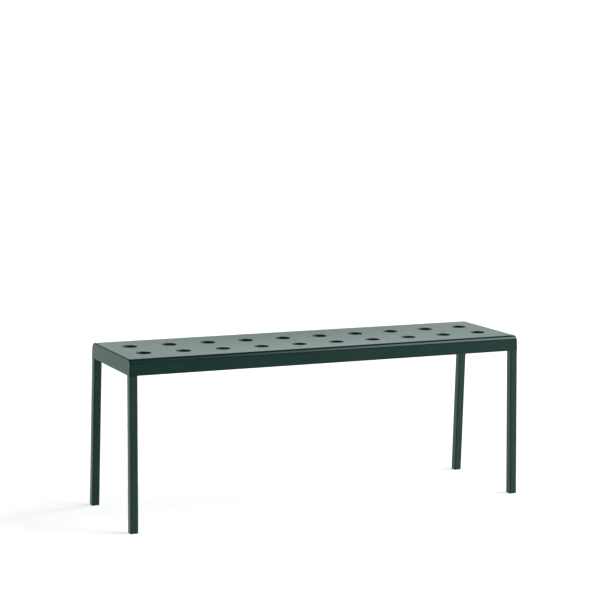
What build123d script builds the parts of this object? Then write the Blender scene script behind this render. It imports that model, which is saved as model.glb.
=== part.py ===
from build123d import *
import os

# Backless bench: a bent, dished and perforated seat sheet on four slender square legs.
# Frame: X along the bench, Y from front (-) to back (+), Z up, origin on the floor
# under the middle of the seat. All sizes are in millimetres.

# ---- Driving dimensions -------------------------------------------------------------

seat_length = 1153.5        # over both end plates, at their foot
seat_width = 303.0          # over the front and back aprons
seat_height = 450.0         # floor to the long edges of the seat
apron_height = 41.5         # top of the seat to the lower edge of the apron
seat_sheet = 2.0            # thickness of the bent seat sheet
end_foot = 5.8              # thickness of the end plates at their foot
end_lean = 1.8              # how far their outer face stands back at the top
bend_radius = 14.0          # outside radius of the two long bends
dish_depth = 2.9            # fall of the seat from its edges to its middle
end_round = 3.6             # rounding of the end plates' outer edge

hole_columns = 10
hole_rows = 2
end_margin = 73.75          # end of the seat to the first column of holes
side_margin = 97.8          # side of the seat to the first row of holes
hole_diameter = 39.0        # clear bore of a drawn hole
rim_radius = 2.0            # rounding of the drawn rim
rim_wall = 1.6              # wall of the drawn rim
rim_depth = 6.5             # seat surface to the lower edge of the rim

rib_count = 3
rib_spacing_columns = 2     # ribs stand this many hole pitches apart
rib_width = 24.0
rib_height = 15.0
rib_sheet = 1.5

leg_size = 22.0             # square leg tube, outside
leg_wall = 1.5
leg_corner = 3.0            # outside corner radius of the tube
leg_inset = 0.75            # leg's outer face behind the end plate's foot
foot_splay_x = 2.5          # how far a foot stands out past the leg's top, along the bench
foot_splay_y = 15.0         # the same, across the bench

joint_gap = 1.0             # shadow gap between the apron and the leg tube
joint_inset = 1.2           # how far the spigot's collar is set back from the tube's face
spigot_length = 40.0        # spigot inside the leg tube
socket_wall = 2.0
socket_corner = 1.0         # outside corner radius of the socket
socket_clear_of_bend = 2.0  # top of the socket below the start of the long bend
tang_size = 13.0            # square tang of the spigot, inside the socket
tang_corner = 0.8
tang_clear_of_top = 2.0     # top of the tang below the top of the socket

bolt_diameter = 6.0
bolt_reach = 9.0            # thread held in the spigot
tap_run_out = 1.5           # threaded hole past the bolt's tip
bolt_head_diameter = 10.5
bolt_head_height = 3.3
bolt_head_round = 2.0
bolt_tip = 0.6              # chamfer at the end of the thread
bolt_key = 4.0              # hexagon across flats
bolt_key_depth = 2.0
bolt_hole = 6.6
washer_diameter = 12.0
washer_thickness = 1.6
first_bolt_height = 7.5     # lower bolt axis above the apron's lower edge
bolt_step = 9.0             # between the lower and the upper bolt axis

glide_sole = 3.0            # plastic under the tube's end
glide_stem = 14.0
glide_wall = 2.0
glide_edge = 1.0            # rounding of the sole's lower edge

plug_clearance = 0.2        # spigots and glides inside the leg tube, per side
tang_clearance = 0.2        # tang inside the socket, per side
thread_clearance = 0.05     # bolt in its threaded hole, per side
rib_clearance = 0.3         # rib to the inside of the seat sheet
size_tolerance = 0.1        # two sizes closer than this count as the same

# ---- Places that follow from them ---------------------------------------------------

apron_bottom = seat_height - apron_height
half_length = seat_length / 2
half_width = seat_width / 2
inner_half_length = half_length - end_foot
inner_half_width = half_width - seat_sheet
flat_half_width = half_width - bend_radius
hole_pitch = (seat_length - 2 * end_margin) / (hole_columns - 1)
row_pitch = (seat_width - 2 * side_margin) / (hole_rows - 1)
leg_top = apron_bottom - joint_gap
leg_drop = leg_top - glide_sole
leg_bore = leg_size - 2 * leg_wall
leg_bore_corner = leg_corner - leg_wall
socket_height = apron_height - bend_radius - socket_clear_of_bend
plug_size = leg_bore - 2 * plug_clearance
plug_corner = leg_bore_corner - plug_clearance
tang_height = socket_height - tang_clear_of_top
socket_bore = tang_size + 2 * tang_clearance
socket_size = socket_bore + 2 * socket_wall
socket_x = inner_half_length - socket_size / 2
socket_y = inner_half_width - socket_size / 2
bolt_length = washer_thickness + socket_wall + tang_clearance + bolt_reach

corners = {
    "front_left": (-1, -1),
    "front_right": (1, -1),
    "back_left": (-1, 1),
    "back_right": (1, 1),
}


def hole_places():
    """Centres of the holes, in rows along the bench."""
    xs = [(i - (hole_columns - 1) / 2) * hole_pitch for i in range(hole_columns)]
    ys = [(j - (hole_rows - 1) / 2) * row_pitch for j in range(hole_rows)]
    return [(x, y) for y in ys for x in xs]


def dish_fall(x, y):
    """How far the seat surface lies below its edges."""
    return dish_depth * (1 - (x / inner_half_length) ** 2) * (1 - (y / flat_half_width) ** 2)


def dish_face(z):
    """The dished surface, with its four straight edges at height z."""
    xs = (-inner_half_length, 0, inner_half_length)
    ys = (-flat_half_width, 0, flat_half_width)
    poles = [[Vector(x, y, z) for y in ys] for x in xs]
    poles[1][1] = Vector(0, 0, z - 4 * dish_depth)
    return Face.make_bezier_surface(poles)


def box_between(low, high):
    size = [b - a for a, b in zip(low, high)]
    return Pos(*low) * Box(*size, align=(Align.MIN, Align.MIN, Align.MIN))


def leg_centre(sx, sy, z):
    """Centre of a leg's section at height z."""
    t = (leg_top - z) / leg_drop
    x = half_length - leg_inset - leg_size / 2 + t * foot_splay_x
    y = half_width - leg_size / 2 + t * foot_splay_y
    return sx * x, sy * y, z


def leg_prism(section, sx, sy, z_from, z_to):
    """A section swept down a leg's line between two heights, with level ends."""
    start = Vector(*leg_centre(sx, sy, z_from))
    run = Vector(*leg_centre(sx, sy, z_to)) - start
    return extrude(Pos(*start) * section, amount=run.length, dir=run.normalized())


# ---- Seat ---------------------------------------------------------------------------

def side_bend():
    """The back bend and apron, as one strip of sheet along the seat."""
    inner_radius = bend_radius - seat_sheet
    centre = (flat_half_width, seat_height - bend_radius)
    with BuildSketch(Plane.YZ) as profile:
        with BuildLine():
            Line((flat_half_width, seat_height - seat_sheet), (flat_half_width, seat_height))
            CenterArc(centre, bend_radius, 0, 90)
            Line((half_width, seat_height - bend_radius), (half_width, apron_bottom))
            Line((half_width, apron_bottom), (inner_half_width, apron_bottom))
            Line((inner_half_width, apron_bottom), (inner_half_width, seat_height - bend_radius))
            CenterArc(centre, inner_radius, 0, 90)
        make_face()
    return extrude(profile.sketch, amount=inner_half_length, both=True)


def drawn_rims(seat):
    """Cuts the holes, each with a rim drawn down and rounded into the surface."""
    rim_outer = hole_diameter / 2 + rim_wall
    cut_height = 2 * (dish_depth + rim_depth + seat_sheet)
    for x, y in hole_places():
        surface = seat_height - dish_fall(x, y)
        collar_top = surface - seat_sheet / 2
        collar_height = rim_depth - seat_sheet / 2
        seat += Pos(x, y, collar_top - collar_height / 2) * Cylinder(rim_outer, collar_height)
    for x, y in hole_places():
        seat -= Pos(x, y, seat_height) * Cylinder(hole_diameter / 2, cut_height)
    return fillet(hole_edges(seat), rim_radius)


def hole_edges(seat):
    """The upper edges of the holes."""
    found = []
    for edge in seat.edges():
        box = edge.bounding_box()
        spans = abs(box.size.X - hole_diameter), abs(box.size.Y - hole_diameter)
        if min(spans) < size_tolerance and box.min.Z > seat_height - dish_depth - seat_sheet / 2:
            found.append(edge)
    return found


def make_seat_sheet():
    web = extrude(dish_face(seat_height), amount=seat_sheet, dir=(0, 0, -1))
    strip = side_bend()
    seat = web + strip + mirror(strip, about=Plane.XZ)
    return drawn_rims(seat)


# ---- Small shared shapes ------------------------------------------------------------

def seat_outline(width, top, radius):
    """Cross-section of the seat as a solid shape, open to the apron's lower edge."""
    with BuildSketch(Plane.YZ) as outline:
        with Locations((0, (top + apron_bottom) / 2)):
            block = Rectangle(width, top - apron_bottom)
        fillet(block.vertices().group_by(Axis.Y)[-1], radius)
    return outline.sketch


def rounded_square(size, corner):
    return RectangleRounded(size, size, corner)


# ---- Seat pieces --------------------------------------------------------------------

def make_end_plate():
    """Solid plate that closes the right end, its outer face leaning out to the foot."""
    outline = seat_outline(seat_width, seat_height, bend_radius)
    plate = extrude(Pos(inner_half_length, 0, 0) * outline, amount=end_foot, dir=(1, 0, 0))
    beyond = Polygon(
        (half_length, apron_bottom),
        (half_length + end_lean, apron_bottom),
        (half_length + end_lean, seat_height),
        (half_length - end_lean, seat_height),
        align=None,
    )
    plate -= extrude(Plane.XZ * beyond, amount=seat_width, both=True)
    outer_face = plate.faces().sort_by(Axis.X)[-1]
    return fillet(outer_face.edges().group_by(Axis.Z)[1:], end_round)


def make_cross_rib(index):
    """Channel across the seat, its two edges welded to the underside."""
    x = (index - (rib_count - 1) / 2) * rib_spacing_columns * hole_pitch
    bottom = seat_height - seat_sheet - rib_height
    under_seat = seat_height - seat_sheet - rib_clearance
    outer = box_between(
        (x - rib_width / 2, -half_width, bottom),
        (x + rib_width / 2, half_width, seat_height),
    )
    inner = box_between(
        (x - rib_width / 2 + rib_sheet, -half_width, bottom + rib_sheet),
        (x + rib_width / 2 - rib_sheet, half_width, seat_height),
    )
    section = seat_outline(
        2 * (inner_half_width - rib_clearance),
        under_seat,
        bend_radius - seat_sheet - rib_clearance,
    )
    cavity = extrude(section, amount=half_length, both=True)
    seat_above = extrude(dish_face(under_seat), amount=rib_height, dir=(0, 0, 1))
    return (outer - inner) & cavity - seat_above


# ---- Leg joint ----------------------------------------------------------------------

def bolt_places(sx, sy):
    """Planes under the heads of a corner's two bolts, their Z pointing along the bolt."""
    wall_x = sx * (socket_x - socket_size / 2)
    wall_y = sy * (socket_y - socket_size / 2)
    low = apron_bottom + first_bolt_height
    along = Plane(origin=(wall_x - sx * washer_thickness, sy * socket_y, low), z_dir=(sx, 0, 0))
    across = Plane(
        origin=(sx * socket_x, wall_y - sy * washer_thickness, low + bolt_step), z_dir=(0, sy, 0)
    )
    return [along, across]


def bolt_bores(sx, sy, diameter, length):
    return [
        plane * Cylinder(diameter / 2, length, align=(Align.CENTER, Align.CENTER, Align.MIN))
        for plane in bolt_places(sx, sy)
    ]


def make_corner_socket(sx, sy):
    """Square socket welded into the corner of the aprons."""
    section = rounded_square(socket_size, socket_corner) - Rectangle(socket_bore, socket_bore)
    socket = extrude(Pos(sx * socket_x, sy * socket_y, apron_bottom) * section, amount=socket_height)
    inner_walls = washer_thickness + socket_wall + socket_bore / 2
    for bore in bolt_bores(sx, sy, bolt_hole, inner_walls):
        socket -= bore
    return socket


def make_spigot(sx, sy):
    """Cast plug that joins a leg to its socket: tang, collar and leg plug in one piece."""
    leg_x, leg_y, _ = leg_centre(sx, sy, leg_top)
    collar = extrude(
        Pos(leg_x, leg_y, leg_top) * rounded_square(leg_size - 2 * joint_inset, leg_corner - joint_inset),
        amount=joint_gap,
    )
    plug = leg_prism(rounded_square(plug_size, plug_corner), sx, sy, leg_top, leg_top - spigot_length)
    tang = extrude(
        Pos(sx * socket_x, sy * socket_y, apron_bottom) * rounded_square(tang_size, tang_corner),
        amount=tang_height,
    )
    spigot = plug + collar + tang
    tapped = bolt_length + tap_run_out
    for bore in bolt_bores(sx, sy, bolt_diameter + 2 * thread_clearance, tapped):
        spigot -= bore
    return spigot


def make_leg_bolts():
    """All bolts: button heads with a hexagon socket, two at each corner."""
    head = Pos(0, 0, -bolt_head_height) * Cylinder(
        bolt_head_diameter / 2, bolt_head_height, align=(Align.CENTER, Align.CENTER, Align.MIN)
    )
    head = fillet(head.edges().sort_by(Axis.Z)[0], bolt_head_round)
    shank = Cylinder(bolt_diameter / 2, bolt_length, align=(Align.CENTER, Align.CENTER, Align.MIN))
    shank = chamfer(shank.edges().sort_by(Axis.Z)[-1], bolt_tip)
    key = extrude(
        Pos(0, 0, -bolt_head_height) * RegularPolygon(bolt_key / 2, 6, major_radius=False),
        amount=bolt_key_depth,
    )
    bolt = head + shank - key
    return [plane * bolt for sx, sy in corners.values() for plane in bolt_places(sx, sy)]


def make_leg_washers():
    """One plain washer under each bolt head."""
    ring = Circle(washer_diameter / 2) - Circle(bolt_hole / 2)
    washer = extrude(ring, amount=washer_thickness)
    return [plane * washer for sx, sy in corners.values() for plane in bolt_places(sx, sy)]


# ---- Legs and feet ------------------------------------------------------------------

def make_leg(sx, sy):
    """Square tube, splayed, with level ends."""
    section = rounded_square(leg_size, leg_corner) - rounded_square(leg_bore, leg_bore_corner)
    return leg_prism(section, sx, sy, leg_top, glide_sole)


def make_foot_glide(sx, sy):
    """Plastic sole under the tube, with a hollow stem inside it."""
    foot_x, foot_y, _ = leg_centre(sx, sy, glide_sole)
    sole = extrude(Pos(foot_x, foot_y, 0) * rounded_square(leg_size, leg_corner), amount=glide_sole)
    sole = fillet(sole.faces().sort_by(Axis.Z)[0].edges(), glide_edge)
    hollow = plug_size - 2 * glide_wall
    stem = rounded_square(plug_size, plug_corner) - Rectangle(hollow, hollow)
    return sole + leg_prism(stem, sx, sy, glide_sole + glide_stem, glide_sole)


# ---- Assembly -----------------------------------------------------------------------

def all_nodes():
    nodes = {
        "seat_sheet": make_seat_sheet(),
        "end_plate_left": mirror(make_end_plate(), about=Plane.YZ),
        "end_plate_right": make_end_plate(),
        "leg_bolts": make_leg_bolts(),
        "leg_washers": make_leg_washers(),
    }
    for index in range(rib_count):
        nodes[f"cross_rib_{index + 1}"] = make_cross_rib(index)
    for corner, (sx, sy) in corners.items():
        nodes[f"corner_socket_{corner}"] = make_corner_socket(sx, sy)
        nodes[f"leg_spigot_{corner}"] = make_spigot(sx, sy)
        nodes[f"leg_{corner}"] = make_leg(sx, sy)
        nodes[f"foot_glide_{corner}"] = make_foot_glide(sx, sy)
    return nodes


def write_nodes():
    os.makedirs("parts", exist_ok=True)
    for name, shape in all_nodes().items():
        if isinstance(shape, list):
            shape = Compound(children=shape)
        export_step(shape, f"parts/{name}.step")


write_nodes()
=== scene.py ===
import math
import bmesh
import bpy
from mathutils import Matrix, Vector


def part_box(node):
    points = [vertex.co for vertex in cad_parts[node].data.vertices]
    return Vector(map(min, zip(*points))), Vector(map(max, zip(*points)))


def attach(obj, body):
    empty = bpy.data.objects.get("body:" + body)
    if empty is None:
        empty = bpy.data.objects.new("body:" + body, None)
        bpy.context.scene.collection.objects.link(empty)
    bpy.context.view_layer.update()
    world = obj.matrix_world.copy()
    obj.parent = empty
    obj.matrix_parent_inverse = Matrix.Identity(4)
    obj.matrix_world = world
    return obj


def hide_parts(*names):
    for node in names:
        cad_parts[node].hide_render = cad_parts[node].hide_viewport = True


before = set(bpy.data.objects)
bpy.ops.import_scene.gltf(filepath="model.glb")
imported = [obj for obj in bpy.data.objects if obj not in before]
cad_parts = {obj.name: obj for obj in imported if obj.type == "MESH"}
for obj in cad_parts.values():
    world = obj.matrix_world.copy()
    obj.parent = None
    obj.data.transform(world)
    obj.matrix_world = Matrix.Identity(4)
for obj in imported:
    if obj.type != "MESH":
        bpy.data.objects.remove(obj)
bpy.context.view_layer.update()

# All sizes are in metres, in the CAD frame: X along the bench, Y from front to back, Z up.

# ---- Sizes taken from the frame -----------------------------------------------------

seat_low, seat_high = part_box("seat_sheet")
half_length = seat_high.x
half_width = seat_high.y
seat_top = seat_high.z
apron_bottom = seat_low.z

corners = {
    "front_left": (-1, -1),
    "front_right": (1, -1),
    "back_left": (-1, 1),
    "back_right": (1, 1),
}

# ---- Sizes shared with the CAD part -------------------------------------------------

sheet = 0.002               # thickness of the bent seat sheet
bend_radius = 0.014         # outside radius of the two long bends
dish_depth = 0.0029         # fall of the seat from its edges to its middle
end_lean = 0.0018           # how far the end plates' outer face stands back at the top
end_round = 0.0036          # rounding of the end plates' outer edge
hole_columns = 10
hole_rows = 2
hole_radius = 0.0195
hole_pitch = 1.006 / 9      # between columns
row_pitch = 0.1074          # between rows
rim_radius = 0.002
rim_depth = 0.0065
leg_size = 0.022
leg_bore = 0.019
leg_corner = 0.003

flat_half_width = half_width - bend_radius

# ---- Fineness of the visible meshes -------------------------------------------------

merge_distance = 0.000001   # corners nearer than this are one
tile_steps = 16             # mesh steps along each side of a hole's tile
rim_steps = 6
ring_steps = 6              # rings from a hole's rim to its tile's border
ring_crowding = 1.5         # over 1, the rings crowd towards the rim
flat_steps = 4              # rows from the tiles to the long bend
end_steps = 3               # rows from the tiles to the ends of the seat
bend_steps = 12
corner_steps = 6
support = 0.0008            # narrow band that keeps a flat face flat beside a rounding
cut_edge = 0.0003           # break of the cut edges of the sheet and the tubes
break_angle = 50            # degrees; edges sharper than this are broken
seam_break = 0.0008         # break of the end plates' edge along the seam with the seat

# ---- Camera and studio --------------------------------------------------------------

camera_place = Vector((-2.065, -4.337, 1.228))
camera_yaw = math.radians(25.31)
camera_pitch = math.radians(8.12)
camera_roll = math.radians(0.85)
camera_shift = (-0.00065, 0.00078)
sensor_width = 36.0
focal_length = 104.46

wall_tint = (0.84, 1.0, 0.97, 1)        # light from the walls
wall_low = 0.26                         # height of direction where the walls end
wall_high = 0.35
ceiling_light = 0.03
front_light = 0.07                      # the camera's side of the studio is dark
back_light = 0.77
side_share = 0.6                        # how much X counts beside Y in front and back
front_end = -0.85                       # the dark side ends here
back_start = -0.35                      # the light side starts here
softbox_toward = Vector((0.777, -0.236, 0.584)).normalized()
softbox_radius = 26.0                   # degrees
softbox_edge = 5.0
softbox_light = 5.6
floor_size = 200.0
floor_white = (0.92, 0.92, 0.92, 1)
floor_roughness = 0.9
floor_glow = 0.70

# ---- Mesh helpers -------------------------------------------------------------------

class Patchwork:
    """Faces collected with shared corners, then made into one smooth object."""

    def __init__(self):
        self.points = []
        self.faces = []
        self.known = {}

    def point(self, place):
        key = tuple(round(c / merge_distance) for c in place)
        if key not in self.known:
            self.known[key] = len(self.points)
            self.points.append(tuple(place))
        return self.known[key]

    def face(self, places):
        ids = [self.point(p) for p in places]
        ids = [a for i, a in enumerate(ids) if a != ids[i - 1]]
        if len(ids) >= 3:
            self.faces.append(ids)

    def band(self, row, next_row, closed=True):
        """Four-sided faces between two rows with the same number of points."""
        count = len(row)
        for i in range(count if closed else count - 1):
            j = (i + 1) % count
            self.face([row[i], row[j], next_row[j], next_row[i]])

    def bands(self, rows, closed=True):
        for row, next_row in zip(rows, rows[1:]):
            self.band(row, next_row, closed)

    def to_object(self, name, material):
        mesh = bpy.data.meshes.new(name)
        mesh.from_pydata(self.points, [], self.faces)
        shape = bmesh.new()
        shape.from_mesh(mesh)
        bmesh.ops.recalc_face_normals(shape, faces=shape.faces)
        shape.to_mesh(mesh)
        shape.free()
        mesh.polygons.foreach_set("use_smooth", [True] * len(mesh.polygons))
        mesh.materials.append(material)
        made = bpy.data.objects.new(name, mesh)
        bpy.context.scene.collection.objects.link(made)
        return made


def show_as(made, slot, *nodes):
    """Makes a piece part of the bench, in place of CAD nodes where some are named."""
    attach(made, "root")
    if nodes:
        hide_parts(*nodes)


def break_edges(made):
    bevel = made.modifiers.new("broken edges", "BEVEL")
    bevel.width = cut_edge
    bevel.segments = 2
    bevel.limit_method = "ANGLE"
    bevel.angle_limit = math.radians(break_angle)
    bevel.harden_normals = True


def arc(centre, radius, start, end, steps):
    """Points on an arc in a plane, angles in degrees."""
    turns = [math.radians(start + (end - start) * i / steps) for i in range(steps + 1)]
    return [
        (centre[0] + radius * math.cos(a), centre[1] + radius * math.sin(a)) for a in turns
    ]


def rounded_square(half, radius):
    """Outline of a square with rounded corners and a support point beside each rounding."""
    inner = half - radius
    outline = []
    for quarter, (sx, sy) in enumerate(((1, 1), (-1, 1), (-1, -1), (1, -1))):
        start = 90 * quarter
        curve = arc((sx * inner, sy * inner), radius, start, start + 90, corner_steps)
        begin = math.radians(start)
        end = math.radians(start + 90)
        before = Vector(curve[0]) - support * Vector((-math.sin(begin), math.cos(begin)))
        after = Vector(curve[-1]) + support * Vector((-math.sin(end), math.cos(end)))
        outline += [tuple(before)] + curve + [tuple(after)]
    return outline


# ---- Materials ----------------------------------------------------------------------

coat_dark = (0.0080, 0.0290, 0.0240, 1)
coat_light = (0.0100, 0.0340, 0.0280, 1)
coat_glint = (0.80, 1.0, 0.96, 1)       # tint of the coat's reflections
# Painted light: the legs' coat tones are lighter than the seat's, standing in for light
# bounced up from the floor onto the legs.
leg_coat_painted_bounce_dark = (0.0180, 0.0430, 0.0370, 1)
leg_coat_painted_bounce_light = (0.0210, 0.0490, 0.0420, 1)
nylon_dark = (0.014, 0.015, 0.015, 1)
nylon_light = (0.030, 0.031, 0.031, 1)
casting_dark = (0.006, 0.007, 0.007, 1)
casting_light = (0.014, 0.015, 0.015, 1)
zinc_dark = (0.52, 0.53, 0.53, 1)
zinc_light = (0.68, 0.69, 0.70, 1)


def new_material(name):
    material = bpy.data.materials.new(name)
    material.use_nodes = True
    return material, material.node_tree.nodes, material.node_tree.links


def noise(nodes, links, scale, detail):
    coords = nodes.new("ShaderNodeTexCoord")
    texture = nodes.new("ShaderNodeTexNoise")
    texture.inputs["Scale"].default_value = scale
    texture.inputs["Detail"].default_value = detail
    links.new(coords.outputs["Object"], texture.inputs["Vector"])
    return texture.outputs["Fac"]


def spread(nodes, links, value, low, high, start=0.35, end=0.65):
    """Maps the middle of a noise's range onto two values."""
    span = nodes.new("ShaderNodeMapRange")
    links.new(value, span.inputs["Value"])
    span.inputs["From Min"].default_value = start
    span.inputs["From Max"].default_value = end
    span.inputs["To Min"].default_value = low
    span.inputs["To Max"].default_value = high
    return span.outputs["Result"]


def two_tones(nodes, links, value, dark, light, socket):
    mix = nodes.new("ShaderNodeMix")
    mix.data_type = "RGBA"
    links.new(value, mix.inputs["Factor"])
    mix.inputs["A"].default_value = dark
    mix.inputs["B"].default_value = light
    links.new(mix.outputs["Result"], socket)


def surface_relief(nodes, links, value, shader, strength, depth):
    bump = nodes.new("ShaderNodeBump")
    bump.inputs["Strength"].default_value = strength
    bump.inputs["Distance"].default_value = depth
    links.new(value, bump.inputs["Height"])
    links.new(bump.outputs["Normal"], shader.inputs["Normal"])


def powder_coat(name, dark, light):
    """Green coat between two tones, with a fine orange-peel surface and faint clouding."""
    material, nodes, links = new_material(name)
    shader = nodes["Principled BSDF"]
    clouds = noise(nodes, links, scale=7.0, detail=4.0)
    two_tones(nodes, links, spread(nodes, links, clouds, low=0.0, high=1.0), dark, light,
              shader.inputs["Base Color"])
    gloss = noise(nodes, links, scale=60.0, detail=5.0)
    links.new(spread(nodes, links, gloss, low=0.145, high=0.185),
              shader.inputs["Roughness"])
    shader.inputs["Specular Tint"].default_value = coat_glint
    peel = noise(nodes, links, scale=650.0, detail=2.0)
    surface_relief(nodes, links, peel, shader, strength=0.35, depth=0.00005)
    return material


def black_nylon():
    """Moulded plastic with a spark-eroded grain."""
    material, nodes, links = new_material("black_nylon")
    shader = nodes["Principled BSDF"]
    scuffs = noise(nodes, links, scale=90.0, detail=5.0)
    two_tones(nodes, links, spread(nodes, links, scuffs, low=0.0, high=1.0),
              nylon_dark, nylon_light, shader.inputs["Base Color"])
    gloss = noise(nodes, links, scale=200.0, detail=3.0)
    links.new(spread(nodes, links, gloss, low=0.42, high=0.62), shader.inputs["Roughness"])
    grain = noise(nodes, links, scale=1800.0, detail=3.0)
    surface_relief(nodes, links, grain, shader, strength=0.4, depth=0.00005)
    return material


def black_casting():
    """Cast part with a matt black finish over a slightly pitted skin."""
    material, nodes, links = new_material("black_casting")
    shader = nodes["Principled BSDF"]
    blotches = noise(nodes, links, scale=40.0, detail=4.0)
    two_tones(nodes, links, spread(nodes, links, blotches, low=0.0, high=1.0),
              casting_dark, casting_light, shader.inputs["Base Color"])
    gloss = noise(nodes, links, scale=120.0, detail=3.0)
    links.new(spread(nodes, links, gloss, low=0.5, high=0.7), shader.inputs["Roughness"])
    pits = noise(nodes, links, scale=500.0, detail=4.0)
    surface_relief(nodes, links, pits, shader, strength=0.5, depth=0.0001)
    return material


def zinc_steel():
    """Zinc-plated steel, with a faint mottle and fine drag marks."""
    material, nodes, links = new_material("zinc_steel")
    shader = nodes["Principled BSDF"]
    shader.inputs["Metallic"].default_value = 1.0
    mottle = noise(nodes, links, scale=350.0, detail=4.0)
    two_tones(nodes, links, spread(nodes, links, mottle, low=0.0, high=1.0),
              zinc_dark, zinc_light, shader.inputs["Base Color"])
    gloss = noise(nodes, links, scale=900.0, detail=4.0)
    links.new(spread(nodes, links, gloss, low=0.24, high=0.42), shader.inputs["Roughness"])
    marks = noise(nodes, links, scale=2500.0, detail=2.0)
    surface_relief(nodes, links, marks, shader, strength=0.2, depth=0.00003)
    return material


coat = powder_coat("seat_coat", coat_dark, coat_light)
# The legs get a lighter copy of the same coat, as painted light from the floor's bounce.
leg_coat_painted_bounce = powder_coat("leg_coat_painted_bounce", leg_coat_painted_bounce_dark, leg_coat_painted_bounce_light)
nylon = black_nylon()
casting = black_casting()
zinc = zinc_steel()

# ---- Seat ---------------------------------------------------------------------------

def seat_fall(x, y):
    """How far the seat surface lies below its straight edges."""
    u = min(abs(x) / half_length, 1)
    v = min(abs(y) / flat_half_width, 1)
    return dish_depth * (1 - u * u) * (1 - v * v)


def on_seat(x, y, below=0.0):
    return (x, y, seat_top - seat_fall(x, y) - below)


def tile_border():
    """Outline of one hole's tile about its centre, from its lower right corner."""
    hx = hole_pitch / 2
    hy = row_pitch / 2
    steps = [i / tile_steps for i in range(tile_steps)]
    right = [(hx, -hy + 2 * hy * t) for t in steps]
    back = [(hx - 2 * hx * t, hy) for t in steps]
    left = [(-hx, hy - 2 * hy * t) for t in steps]
    front = [(-hx + 2 * hx * t, -hy) for t in steps]
    return right + back + left + front


def rim_profile():
    """Distances from the hole's centre and depths, from the rim's foot up to the seat."""
    profile = [(hole_radius, rim_depth), (hole_radius, rim_radius)]
    for i in range(1, rim_steps + 1):
        a = math.radians(90 * i / rim_steps)
        out = hole_radius + rim_radius * (1 - math.cos(a))
        down = rim_radius * (1 - math.sin(a))
        profile.append((out, down))
    return profile


def add_hole_tile(seat, x, y):
    border = tile_border()
    turns = [math.atan2(dy, dx) for dx, dy in border]
    rows = []
    for radius, below in rim_profile():
        rows.append([
            on_seat(x + radius * math.cos(a), y + radius * math.sin(a), below)
            for a in turns
        ])
    outer = hole_radius + rim_radius
    for i in range(1, ring_steps + 1):
        t = (i / ring_steps) ** ring_crowding
        rows.append([
            on_seat(
                x + (1 - t) * outer * math.cos(a) + t * dx,
                y + (1 - t) * outer * math.sin(a) + t * dy,
            )
            for a, (dx, dy) in zip(turns, border)
        ])
    seat.bands(rows)


def lengthwise_stations():
    """Mesh stations along the seat: the tiles' own, and a few more towards each end."""
    tiles_end = hole_columns * hole_pitch / 2
    count = tile_steps * hole_columns
    tiled = [-tiles_end + 2 * tiles_end * i / count for i in range(count + 1)]
    beyond = [
        tiles_end + (half_length - tiles_end) * i / end_steps
        for i in range(1, end_steps + 1)
    ]
    return [-x for x in reversed(beyond)] + tiled + beyond


def side_rows(side, stations):
    """Rows along the seat from the tiles' edge, over the long bend and down the apron."""
    tiles_side = hole_rows * row_pitch / 2
    rows = []
    for i in range(flat_steps + 1):
        y = tiles_side + (flat_half_width - tiles_side) * i / flat_steps
        rows.append([on_seat(x, side * y) for x in stations])
    bend = arc((flat_half_width, seat_top - bend_radius), bend_radius, 90, 0, bend_steps)
    rows += [[(x, side * y, z) for x in stations] for y, z in bend[1:]]
    for z in (seat_top - bend_radius - support, apron_bottom + support, apron_bottom):
        rows.append([(x, side * half_width, z) for x in stations])
    return rows


def add_seat_ends(seat):
    tiles_end = hole_columns * hole_pitch / 2
    tiles_side = hole_rows * row_pitch / 2
    count = tile_steps * hole_rows
    ys = [-tiles_side + 2 * tiles_side * i / count for i in range(count + 1)]
    for side in (-1, 1):
        rows = []
        for i in range(end_steps + 1):
            x = side * (tiles_end + (half_length - tiles_end) * i / end_steps)
            rows.append([on_seat(x, y) for y in ys])
        seat.bands(rows, closed=False)


def make_seat():
    """Seat and aprons, bent from one sheet, with the rims of the holes drawn down."""
    seat = Patchwork()
    for i in range(hole_columns):
        for j in range(hole_rows):
            x = (i - (hole_columns - 1) / 2) * hole_pitch
            y = (j - (hole_rows - 1) / 2) * row_pitch
            add_hole_tile(seat, x, y)
    stations = lengthwise_stations()
    for side in (-1, 1):
        seat.bands(side_rows(side, stations), closed=False)
    add_seat_ends(seat)
    made = seat.to_object("seat_sheet_formed", coat)
    thickness = made.modifiers.new("sheet", "SOLIDIFY")
    thickness.thickness = sheet
    thickness.offset = -1
    thickness.use_even_offset = True
    break_edges(made)
    show_as(made, "green_coat", "seat_sheet")


# ---- End plates ---------------------------------------------------------------------

def plate_outline(inset):
    """The seat's end as a closed outline, its sides and top drawn in by an inset."""
    radius = bend_radius - inset
    top = seat_top - bend_radius
    side = half_width - inset
    foot = apron_bottom
    right = arc((flat_half_width, top), radius, 0, 90, bend_steps)
    left = arc((-flat_half_width, top), radius, 90, 180, bend_steps)
    below = top - support
    over = flat_half_width - support
    return (
        [(-side, foot), (-side + support, foot), (side - support, foot), (side, foot)]
        + [(side, foot + support), (side, below)] + right
        + [(over, seat_top - inset), (-over, seat_top - inset)]
        + left + [(-side, below), (-side, foot + support)]
    )


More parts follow.
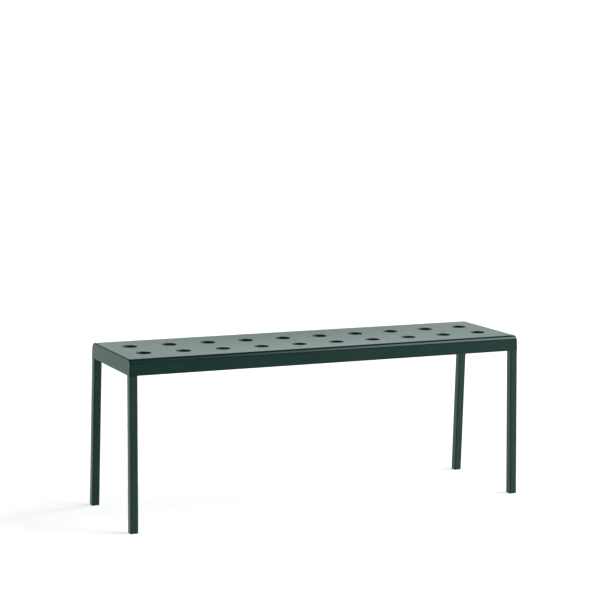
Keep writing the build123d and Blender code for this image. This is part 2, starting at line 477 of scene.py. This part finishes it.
def make_end_plate(side, node):
    """Plate that closes one end, rounded over and leaning out to its foot."""
    low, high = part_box(node)
    outer = high.x if side > 0 else low.x
    inner = low.x if side > 0 else high.x

    def ring(inset, behind):
        places = []
        for y, z in plate_outline(inset):
            lean = end_lean * (z - apron_bottom) / (seat_top - apron_bottom)
            places.append((outer - side * (lean + behind), y, z))
        return places

    rows = [
        [(inner, y, z) for y, z in plate_outline(seam_break)],
        [(inner + side * seam_break, y, z) for y, z in plate_outline(0)],
        ring(0, end_round),
    ]
    for i in range(1, corner_steps + 1):
        a = math.radians(90 * i / corner_steps)
        rows.append(ring(end_round * (1 - math.cos(a)), end_round * (1 - math.sin(a))))
    rows.append(ring(end_round + support, 0))
    plate = Patchwork()
    plate.bands(rows)
    plate.face(rows[-1])
    plate.face(rows[0])
    made = plate.to_object(node + "_formed", coat)
    break_edges(made)
    show_as(made, "green_coat", node)


# ---- Legs ---------------------------------------------------------------------------

def make_leg(corner):
    """Square tube on its splayed line, with level ends and broken cut edges."""
    sx, sy = corners[corner]
    node = "leg_" + corner
    low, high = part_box(node)
    half = leg_size / 2
    xs = (high.x - half, low.x + half)
    ys = (high.y - half, low.y + half)
    foot_x, top_x = xs if sx > 0 else xs[::-1]
    foot_y, top_y = ys if sy > 0 else ys[::-1]
    wall = (leg_size - leg_bore) / 2

    def section(inset, z):
        t = (high.z - z) / (high.z - low.z)
        x = top_x + t * (foot_x - top_x)
        y = top_y + t * (foot_y - top_y)
        outline = rounded_square(half - inset, leg_corner - inset)
        return [(x + dx, y + dy, z) for dx, dy in outline]

    rows = [
        section(wall, low.z),
        section(cut_edge, low.z),
        section(0, low.z + cut_edge),
        section(0, low.z + support),
        section(0, high.z - support),
        section(0, high.z - cut_edge),
        section(cut_edge, high.z),
        section(wall, high.z),
        section(wall, high.z - support),
        section(wall, low.z + support),
        section(wall, low.z),
    ]
    tube = Patchwork()
    tube.bands(rows)
    # The tube wears the leg coat, painted lighter to stand in for light bounced up from the
    # floor.
    show_as(tube.to_object(node + "_formed", leg_coat_painted_bounce), "green_coat", node)


# ---- Welds under the seat -----------------------------------------------------------

bead_radius = 0.0014
bead_ripple = 0.00014
bead_pitch = 0.0013         # length of one ripple
bead_sides = 8
bead_rows = 4               # mesh rows in one ripple
bead_taper = 8              # the higher, the shorter the tapered ends
bead_tip = 0.2              # radius at the very end, as a share of the full one
bead_sink = bead_radius / 3
stitch_length = 0.028
rib_stitch_places = (-0.085, 0.0, 0.085)
end_stitch_places = (-0.09, -0.03, 0.03, 0.09)


def add_bead(welds, start, end):
    """A rippled bead with tapered ends, half sunk into the corner that it fills."""
    start = Vector(start)
    run = Vector(end) - start
    length = run.length
    along = run.normalized()
    side = along.orthogonal().normalized()
    up = along.cross(side)
    count = bead_rows * round(length / bead_pitch)
    rows = []
    for i in range(count + 1):
        t = i / count
        taper = math.sqrt(max(0.0, 1 - (2 * t - 1) ** bead_taper))
        ripple = bead_ripple * abs(math.sin(math.pi * t * length / bead_pitch))
        radius = max(bead_radius * bead_tip, (bead_radius + ripple) * taper)
        centre = start + t * run
        turns = [math.tau * k / bead_sides for k in range(bead_sides)]
        rows.append([
            centre + radius * (math.cos(a) * side + math.sin(a) * up) for a in turns
        ])
    welds.bands(rows)
    welds.face(rows[0])
    welds.face(rows[-1])


def rib_stitches(welds, node):
    """Stitches along both edges of a rib, where it meets the seat."""
    low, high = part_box(node)
    for x in (low.x, high.x):
        for y in rib_stitch_places:
            a = on_seat(x, y - stitch_length / 2, sheet + bead_sink)
            b = on_seat(x, y + stitch_length / 2, sheet + bead_sink)
            add_bead(welds, a, b)


def socket_seams(welds, corner):
    """Upright seams where a socket's free edges meet the apron and the end plate."""
    low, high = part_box("corner_socket_" + corner)
    sx, sy = corners[corner]
    inner_x = low.x if sx > 0 else high.x
    outer_x = high.x if sx > 0 else low.x
    inner_y = low.y if sy > 0 else high.y
    outer_y = high.y if sy > 0 else low.y
    bottom = low.z + bead_radius
    top = high.z - bead_radius
    add_bead(welds, (inner_x, outer_y, bottom), (inner_x, outer_y, top))
    add_bead(welds, (outer_x, inner_y, bottom), (outer_x, inner_y, top))


def end_stitches(welds, side):
    """Stitches between the seat's underside and an end plate."""
    for y in end_stitch_places:
        a = (side * half_length, y - stitch_length / 2, seat_top - sheet - bead_sink)
        b = (side * half_length, y + stitch_length / 2, seat_top - sheet - bead_sink)
        add_bead(welds, a, b)


def make_welds():
    welds = Patchwork()
    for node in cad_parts:
        if node.startswith("cross_rib"):
            rib_stitches(welds, node)
    for corner in corners:
        socket_seams(welds, corner)
    for side in (-1, 1):
        end_stitches(welds, side)
    show_as(welds.to_object("weld_beads", coat), "green_coat")


# ---- Pieces kept from the CAD part --------------------------------------------------

def dress_kept_nodes():
    slots = {
        "cross_rib": coat,
        "corner_socket": coat,
        "leg_spigot": casting,
        "foot_glide": nylon,
        "leg_bolts": zinc,
        "leg_washers": zinc,
    }
    for name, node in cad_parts.items():
        for start, material in slots.items():
            if name.startswith(start):
                node.data.materials.clear()
                node.data.materials.append(material)


# ---- Studio -------------------------------------------------------------------------

def make_camera():
    forward = Vector((
        math.sin(camera_yaw) * math.cos(camera_pitch),
        math.cos(camera_yaw) * math.cos(camera_pitch),
        -math.sin(camera_pitch),
    ))
    right = Vector((math.cos(camera_yaw), -math.sin(camera_yaw), 0))
    up = right.cross(forward)
    rolled_right = math.cos(camera_roll) * right + math.sin(camera_roll) * up
    rolled_up = math.cos(camera_roll) * up - math.sin(camera_roll) * right
    data = bpy.data.cameras.new("camera")
    data.sensor_width = sensor_width
    data.lens = focal_length
    data.shift_x, data.shift_y = camera_shift
    camera = bpy.data.objects.new("camera", data)
    turn = Matrix((rolled_right, rolled_up, -forward)).transposed()
    camera.matrix_world = Matrix.Translation(camera_place) @ turn.to_4x4()
    bpy.context.scene.collection.objects.link(camera)
    bpy.context.scene.camera = camera


def ramp(nodes, links, value, start, end, low, high):
    """A soft step of one value against another."""
    step = nodes.new("ShaderNodeMapRange")
    step.interpolation_type = "SMOOTHSTEP"
    links.new(value, step.inputs["Value"])
    step.inputs["From Min"].default_value = start
    step.inputs["From Max"].default_value = end
    step.inputs["To Min"].default_value = low
    step.inputs["To Max"].default_value = high
    return step.outputs["Result"]


def make_world():
    """White walls round a dark ceiling, with one big softbox up at the right."""
    world = bpy.data.worlds.new("studio")
    bpy.context.scene.world = world
    world.use_nodes = True
    nodes = world.node_tree.nodes
    links = world.node_tree.links
    nodes.clear()
    coords = nodes.new("ShaderNodeTexCoord")
    split = nodes.new("ShaderNodeSeparateXYZ")
    links.new(coords.outputs["Generated"], split.inputs[0])
    walls = ramp(nodes, links, split.outputs["Z"], wall_low, wall_high, 1.0, ceiling_light)
    toward_back = nodes.new("ShaderNodeMath")
    toward_back.operation = "MULTIPLY_ADD"
    links.new(split.outputs["X"], toward_back.inputs[0])
    toward_back.inputs[1].default_value = side_share
    links.new(split.outputs["Y"], toward_back.inputs[2])
    depth = ramp(nodes, links, toward_back.outputs[0], front_end, back_start,
                 front_light, back_light)
    wall_light = nodes.new("ShaderNodeMath")
    wall_light.operation = "MULTIPLY"
    links.new(walls, wall_light.inputs[0])
    links.new(depth, wall_light.inputs[1])
    facing = nodes.new("ShaderNodeVectorMath")
    facing.operation = "DOT_PRODUCT"
    links.new(coords.outputs["Generated"], facing.inputs[0])
    facing.inputs[1].default_value = softbox_toward
    softbox_rim = math.cos(math.radians(softbox_radius + softbox_edge))
    softbox_full = math.cos(math.radians(softbox_radius - softbox_edge))
    softbox = ramp(nodes, links, facing.outputs["Value"], softbox_rim, softbox_full,
                   0.0, softbox_light)
    room = nodes.new("ShaderNodeBackground")
    room.inputs["Color"].default_value = wall_tint
    links.new(wall_light.outputs[0], room.inputs["Strength"])
    lamp = nodes.new("ShaderNodeBackground")
    links.new(softbox, lamp.inputs["Strength"])
    lit = nodes.new("ShaderNodeAddShader")
    links.new(room.outputs[0], lit.inputs[0])
    links.new(lamp.outputs[0], lit.inputs[1])
    seen = nodes.new("ShaderNodeBackground")
    seen.inputs["Color"].default_value = (1, 1, 1, 1)
    path = nodes.new("ShaderNodeLightPath")
    mix = nodes.new("ShaderNodeMixShader")
    links.new(path.outputs["Is Camera Ray"], mix.inputs[0])
    links.new(lit.outputs[0], mix.inputs[1])
    links.new(seen.outputs[0], mix.inputs[2])
    out = nodes.new("ShaderNodeOutputWorld")
    links.new(mix.outputs[0], out.inputs["Surface"])


def make_floor():
    bpy.ops.mesh.primitive_plane_add(size=floor_size)
    floor = bpy.context.object
    floor.name = "floor"
    material, nodes, links = new_material("floor_white")
    shader = nodes["Principled BSDF"]
    shader.inputs["Base Color"].default_value = floor_white
    shader.inputs["Roughness"].default_value = floor_roughness
    shader.inputs["Specular IOR Level"].default_value = 0.0
    shader.inputs["Emission Color"].default_value = (1, 1, 1, 1)
    shader.inputs["Emission Strength"].default_value = floor_glow
    floor.data.materials.append(material)
    floor.visible_glossy = False


make_seat()
make_end_plate(-1, "end_plate_left")
make_end_plate(1, "end_plate_right")
for corner in corners:
    make_leg(corner)
make_welds()
dress_kept_nodes()
bpy.context.scene.view_settings.view_transform = "Standard"
make_world()
make_camera()
make_floor()
